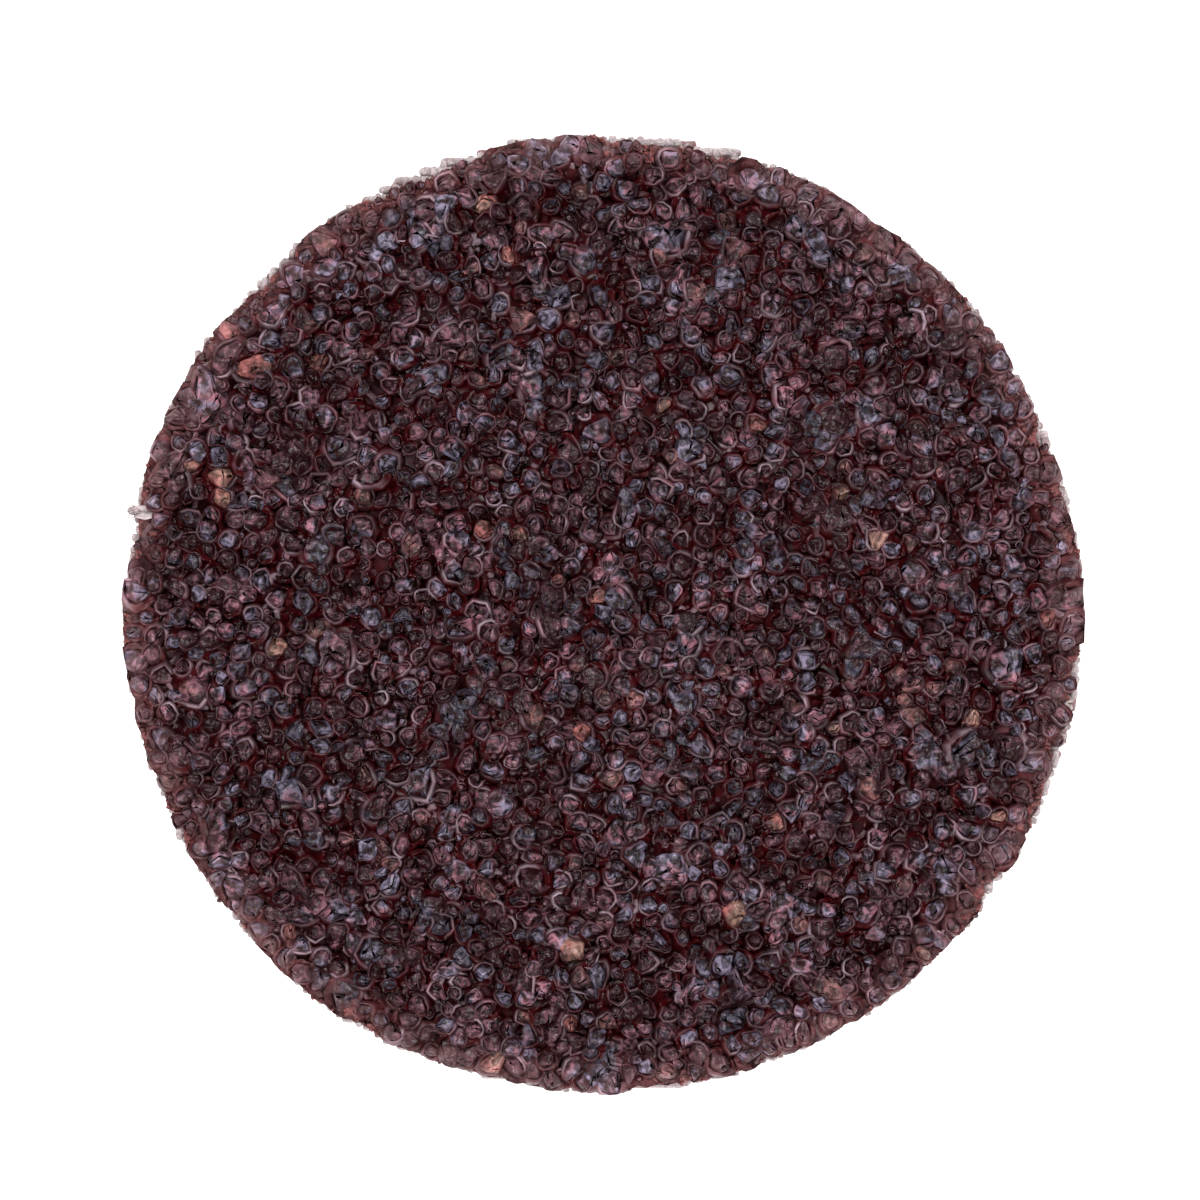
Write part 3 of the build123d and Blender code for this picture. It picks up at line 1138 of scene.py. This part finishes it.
class CARVING_OT_fibres(bpy.types.Operator):
    """Frays the cut yarn ends into loose fibres"""

    bl_idname = "carving.fibres"
    bl_label = "Loose fibres"

    def execute(self, context):
        cloth = context.scene.carving_disc_cloth
        chance = random.Random(FIBRE_SEED)
        strands = [self.strand(chance) for _ in range(12)]
        copies = []
        for _ in range(cloth.fibres):
            angle = chance.uniform(0, math.tau)
            if chance.random() > 0.12 + bareness(angle):
                continue
            copies.append((chance.choice(strands), self.root(chance, angle)))
        for _ in range(cloth.tuft_fibres):
            copies.append((chance.choice(strands), self.tuft_root(chance)))
        for turn, out in ((0.0, 0.3), (-0.8, 0.0)):
            copies.append((self.tongue(chance), self.tongue_place(turn, out)))
        whole, _ = place_copies(copies)
        add_piece("loose_fibres", whole, yarn_material("fibre", True, cloth, cloth.yarn, 1.0, 0.0))
        return {"FINISHED"}

    def root(self, chance, angle):
        """Where a fibre starts and which way it points: outwards, askew."""
        place = around(angle) * (rim_radius(angle) - 0.2 * MM)
        place.z = chance.uniform(REAR_PLY[0] + 0.1 * MM, MAKE_BOTTOM + 0.06 * MM)
        turned_by = askew(angle + chance.gauss(0, 0.5), chance.gauss(0, 0.35), chance.uniform(0, math.tau))
        return Matrix.Translation(place) @ turned_by @ Matrix.Scale(MM * chance.uniform(0.5, 1.2), 4)

    def tuft_root(self, chance):
        """Where a fibre of the pulled tuft starts: on the resin, lying out over the rim."""
        angle = math.radians(TUFT_ANGLE + chance.gauss(0, 0.35))
        place = around(angle) * (DISC_RADIUS - MM * chance.uniform(0.5, 0.9))
        place.z = RESIN_TOP + MM * chance.uniform(-0.15, 0.15)
        yaw = math.pi + chance.gauss(0, 0.10)
        turned_by = askew(yaw, chance.uniform(0, 0.25), chance.uniform(0, math.tau))
        size, thick = MM * chance.uniform(1.6, 2.4), MM * 2.2
        return Matrix.Translation(place) @ turned_by @ Matrix.Diagonal((size, thick, thick, 1.0))

    def tongue_place(self, turn, out):
        """Where a pulled yarn end lies on the resin, pointing out over the rim."""
        place = around(math.radians(TUFT_ANGLE - turn)) * (DISC_RADIUS + MM * out)
        place.z = RESIN_TOP + 0.10 * MM
        return Matrix.Translation(place) @ Matrix.Rotation(math.radians(-4 - 12 * turn), 4, "Z")

    def tongue(self, chance):
        """A flat pulled yarn end along X, its tip at the origin."""
        shape = bmesh.new()
        ring, edges = first_ring(shape, 14, UPRIGHT)
        for number, width in enumerate(TONGUE_WIDTHS):
            if number:
                ring, edges = next_ring(shape, edges)
            along = TONGUE_LENGTH * number / (len(TONGUE_WIDTHS) - 1)
            for vert in ring:
                turn = math.atan2(vert.co.y, vert.co.z)
                ragged = width * chance.uniform(0.85, 1.1)
                vert.co = Vector((along, math.sin(turn) * ragged, math.cos(turn) * width * 0.4)) * MM
        last_ring(shape, edges)
        return mesh_from(shape, "tongue")

    def strand(self, chance):
        """A curved, tapering fibre along X, about half a unit long."""
        shape = bmesh.new()
        ring, edges = first_ring(shape, 3, UPRIGHT)
        bend, sway = chance.uniform(-0.5, 0.5), chance.uniform(-0.3, 0.3)
        for number in range(5):
            along = number / 4
            if number:
                ring, edges = next_ring(shape, edges)
            centre = Vector((0.5 * along, bend * along**2 * 0.4, sway * along**3 * 0.4))
            for side, vert in enumerate(sorted(ring, key=lambda v: math.atan2(v.co.y, v.co.z))):
                turn = math.tau * side / 3
                spread = 0.013 * (1 - 0.6 * along)
                vert.co = centre + Vector((0, math.sin(turn) * spread, math.cos(turn) * spread))
        last_ring(shape, edges)
        return mesh_from(shape, "strand")


# === Back ===


class CARVING_OT_back(bpy.types.Operator):
    """Spreads the glue between the plies and the thin finish on the back"""

    bl_idname = "carving.back"
    bl_label = "Laminating glue and back finish"

    def execute(self, context):
        cloth = context.scene.carving_disc_cloth

        def edge(set_back, height):
            return lambda angle: (
                rim_radius(angle) - MM * (set_back + 0.10 * rim_noise(angle, 50, 7.7)),
                height + 0.01 * MM * rim_noise(angle, 80, 3.3),
            )

        low, high = GLUE_LINE
        glue = turned(BACK_STEPS, (edge(0.30, high), edge(0.14, (low + high) / 2), edge(0.30, low)))
        material = dull_film_material("laminating_adhesive", cloth.laminate, cloth.laminate_fleck)
        add_piece("laminating_layer", glue, material, ("laminating_glue",))
        top, bottom = BACK_FACE + 0.16 * MM, BACK_FACE + 0.10 * MM
        film = turned(BACK_STEPS, (edge(0.45, top), edge(0.28, (top + bottom) / 2), edge(0.34, bottom)))
        material = dull_film_material("back_finish", cloth.back, shaded(cloth.back, 1.4))
        add_piece("back_film", film, material, ("back_size",))
        return {"FINISHED"}


class CARVING_OT_stud(bpy.types.Operator):
    """Moulds the roll-on stud and the hot-melt glue that holds its flange"""

    bl_idname = "carving.stud"
    bl_label = "Stud and glue"

    def execute(self, context):
        stud = context.scene.carving_disc_stud
        self.add_glue(stud)
        shape = self.turned_body()
        join(shape, self.thread(stud))
        join(shape, self.mould_marks())
        nylon = nylon_material("moulded_nylon", stud.nylon)
        piece = add_piece("roll_on_stud", shape, nylon, ("drive_button",))
        piece.data.set_sharp_from_angle(angle=math.radians(40))
        return {"FINISHED"}

    def add_glue(self, stud):
        """A bead of glue that wanders round the flange, and runs in a little over its back."""
        def bead(share, height):
            def row(angle):
                wander = 0.30 * rim_noise(angle, 3, 8.1) + 0.16 * rim_noise(angle, 11, 2.2)
                width = (GLUE_RADIUS - FLANGE_RADIUS) * (0.85 + wander)
                return FLANGE_RADIUS + width * share, height
            return row

        top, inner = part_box("button_glue")[1].z, FLANGE_RADIUS - 0.5 * MM
        shape = turned(
            BEAD_STEPS,
            (
                lambda angle: (inner, top),
                bead(1.02, top),
                *(bead(share, BACK_FACE - drop * MM) for share, drop in BEAD_ROWS),
                lambda angle: (FLANGE_RADIUS - 0.12 * MM, BACK_FACE - 0.24 * MM),
                lambda angle: (inner, STUD_HIGH.z + 0.002 * MM),
            ),
        )
        glue = hot_melt_material("hot_melt", stud.glue)
        add_piece("hot_melt_bead", shape, glue, ("button_glue",))

    def turned_body(self):
        """Flange, pilot shoulder, core and coring, spun from their outline, each corner softened."""
        outline = (
            (0.0, STUD_HIGH.z),
            (FLANGE_RADIUS, STUD_HIGH.z),
            (FLANGE_RADIUS, FLANGE_LOW),
            (SHOULDER_RADIUS, FLANGE_LOW),
            (SHOULDER_RADIUS, SHOULDER_LOW),
            (CORE_RADIUS, SHOULDER_LOW - 0.35 * MM),
            (CORE_RADIUS, STUD_LOW.z),
            (CORING_RADIUS, STUD_LOW.z),
            (CORING_RADIUS * 0.9, STUD_LOW.z + CORING_DEPTH),
            (0.0, STUD_LOW.z + CORING_DEPTH),
        )
        shape = bmesh.new()
        verts = [shape.verts.new((radius, 0.0, height)) for radius, height in outline]
        for first, second in zip(verts, verts[1:]):
            shape.edges.new((first, second))
        bmesh.ops.spin(
            shape, geom=shape.verts[:] + shape.edges[:], cent=(0, 0, 0), axis=(0, 0, 1), dvec=(0, 0, 0),
            angle=math.tau, steps=96, use_merge=True,
        )
        bmesh.ops.remove_doubles(shape, verts=shape.verts, dist=1e-6)
        bmesh.ops.recalc_face_normals(shape, faces=shape.faces)
        corners = [e for e in shape.edges if e.is_manifold and e.calc_face_angle() > math.radians(25)]
        bmesh.ops.bevel(
            shape, geom=corners, offset=CORNER_ROUND, affect="EDGES", segments=4, profile=0.5, material=-1,
            clamp_overlap=True,
        )
        return shape

    def thread(self, stud):
        """The coarse one-start thread: a rounded ridge screwed up the core, sinking away at both ends."""
        root, crest = stud.thread_root / 2, stud.thread_root * 0.21
        start = STUD_LOW.z + THREAD_END_GAP + root
        end = SHOULDER_LOW - THREAD_END_GAP - root
        turns = (end - start) / stud.thread_lead
        steps = round(turns * 80)
        bottom = CORE_RADIUS - THREAD_BITE
        half = (
            (bottom, root),
            (CORE_RADIUS, root),
            (THREAD_CREST - 0.15 * MM, crest * 1.25),
            (THREAD_CREST, crest * 0.75),
        )
        section = [(radius, -height) for radius, height in half] + list(reversed(half))
        shape = bmesh.new()
        verts = [shape.verts.new((radius, 0.0, start + height)) for radius, height in section]
        face = shape.faces.new(verts)
        bmesh.ops.spin(
            shape, geom=[face], cent=(0, 0, 0), axis=(0, 0, 1), dvec=(0, 0, (end - start) / steps),
            angle=math.tau * turns, steps=steps,
        )
        for vert in shape.verts:
            part_turn = math.atan2(vert.co.y, vert.co.x) % math.tau / math.tau
            laps = part_turn + round((vert.co.z - start) / stud.thread_lead - part_turn)
            left = clamp(min(laps, turns - laps) * 4)
            radius = vert.co.xy.length
            sunk = bottom + (radius - bottom) * math.sin(left * math.pi / 2)
            vert.co.xy = vert.co.xy * (sunk / radius)
        bmesh.ops.recalc_face_normals(shape, faces=shape.faces)
        return shape

    def mould_marks(self):
        """Ejector marks on the flange, and the gate's stub in the coring."""
        shape = bmesh.new()
        for number in range(3):
            place = around(math.radians(30 + 120 * number)) * (SHOULDER_RADIUS + FLANGE_RADIUS) / 2
            place.z = FLANGE_LOW
            bmesh.ops.create_cone(
                shape, cap_ends=True, segments=40, radius1=0.95 * MM, radius2=1.05 * MM, depth=0.10 * MM,
                matrix=Matrix.Translation(place),
            )
        gate = Vector((0, 0, STUD_LOW.z + CORING_DEPTH))
        bmesh.ops.create_cone(
            shape, cap_ends=True, segments=24, radius1=0.35 * MM, radius2=0.5 * MM, depth=0.5 * MM,
            matrix=Matrix.Translation(gate),
        )
        return shape


# === Stage ===


class CARVING_OT_stage(bpy.types.Operator):
    """Lays the floor and sets the camera and the lights"""

    bl_idname = "carving.stage"
    bl_label = "Stage"

    def execute(self, context):
        settings = context.scene.carving_disc_stage
        shape = bmesh.new()
        bmesh.ops.create_grid(shape, x_segments=1, y_segments=1, size=FLOOR_REACH)
        mesh = mesh_from(shape, "floor")
        mesh.transform(Matrix.Translation((0, 0, STUD_LOW.z - FLOOR_GAP)))
        mesh.materials.append(floor_material(settings.floor))
        floor = bpy.data.objects.new("floor", mesh)
        context.scene.collection.objects.link(floor)
        self.add_camera(context, settings)
        self.add_lights(context, settings)
        return {"FINISHED"}

    def add_camera(self, context, settings):
        """Looks straight down at the grain."""
        data = bpy.data.cameras.new("camera")
        data.lens = settings.lens
        data.clip_start, data.clip_end = 0.01, 10.0
        camera = bpy.data.objects.new("camera", data)
        distance = settings.frame_width / data.sensor_width * settings.lens
        camera.location = (*CAMERA_CENTRE, RESIN_TOP + distance)
        context.scene.collection.objects.link(camera)
        context.scene.camera = camera

    def add_lights(self, context, settings):
        """Four soft lamps round the disc, and a faint even sky."""
        for number in range(4):
            data = bpy.data.lights.new(f"side_light_{number + 1}", "AREA")
            data.shape = "RECTANGLE"
            data.size, data.size_y = LAMP_SIZE
            data.energy = settings.key
            data.color = LAMP_COLOR
            lamp = bpy.data.objects.new(data.name, data)
            lamp.location = around(math.radians(45 + 90 * number)) * LAMP_OUT
            lamp.location.z = LAMP_UP
            lamp.rotation_euler = (-lamp.location).to_track_quat("-Z", "Y").to_euler()
            context.scene.collection.objects.link(lamp)
        world = bpy.data.worlds.new("studio")
        world.use_nodes = True
        sky = world.node_tree.nodes["Background"]
        sky.inputs["Color"].default_value = SKY_COLOR
        sky.inputs["Strength"].default_value = SKY_STRENGTH
        context.scene.world = world
        context.scene.view_settings.view_transform = "Standard"


def floor_material(color):
    """Pale and faintly glowing, so that it stays light. It is clear from below, to show the back."""
    m = Finish("studio_floor")
    shade = m.mix(m.span(m.noise(0.4, 3.0), 0.3, 0.7), color, shaded(color, 0.985))
    m.finish(shade, 0.7, Emission_Color=(1, 1, 1, 1), Emission_Strength=FLOOR_GLOW)
    clear = m.node("ShaderNodeBsdfTransparent")
    pick = m.node("ShaderNodeMixShader")
    m.feed(pick.inputs[0], m.node("ShaderNodeNewGeometry").outputs["Backfacing"])
    m.feed(pick.inputs[1], m.shader.outputs[0])
    m.feed(pick.inputs[2], clear.outputs[0])
    m.feed(m.tree.nodes["Material Output"].inputs["Surface"], pick.outputs[0])
    return m.material


# === Add-on ===

SETTINGS = {
    "carving_disc_grain": CarvingDiscGrain,
    "carving_disc_resin": CarvingDiscResin,
    "carving_disc_cloth": CarvingDiscCloth,
    "carving_disc_stud": CarvingDiscStud,
    "carving_disc_stage": CarvingDiscStage,
}
OPERATORS = (
    CARVING_OT_stage,
    CARVING_OT_grain,
    CARVING_OT_resin_bed,
    CARVING_OT_make_resin,
    CARVING_OT_cloth,
    CARVING_OT_fibres,
    CARVING_OT_back,
    CARVING_OT_stud,
)


class CARVING_PT_panel(bpy.types.Panel):
    """Everything that builds the disc"""

    bl_label = "Carving Disc"
    bl_idname = "CARVING_PT_panel"
    bl_space_type = "VIEW_3D"
    bl_region_type = "UI"
    bl_category = "Carving Disc"

    def draw(self, context):
        for name, group in SETTINGS.items():
            box = self.layout.box()
            for setting in group.__annotations__:
                box.prop(getattr(context.scene, name), setting)
        for operator in OPERATORS:
            self.layout.operator(operator.bl_idname)


def register():
    for made in (*SETTINGS.values(), *OPERATORS, CARVING_PT_panel):
        bpy.utils.register_class(made)
    for name, group in SETTINGS.items():
        setattr(bpy.types.Scene, name, PointerProperty(type=group))


def unregister():
    for name in SETTINGS:
        delattr(bpy.types.Scene, name)
    for made in reversed((*SETTINGS.values(), *OPERATORS, CARVING_PT_panel)):
        bpy.utils.unregister_class(made)


def main():
    register()
    bpy.ops.carving.stage()
    bpy.ops.carving.grain()
    bpy.ops.carving.resin_bed()
    bpy.ops.carving.make_resin()
    bpy.ops.carving.cloth()
    bpy.ops.carving.fibres()
    bpy.ops.carving.back()
    bpy.ops.carving.stud()


if __name__ == "__main__":
    main()
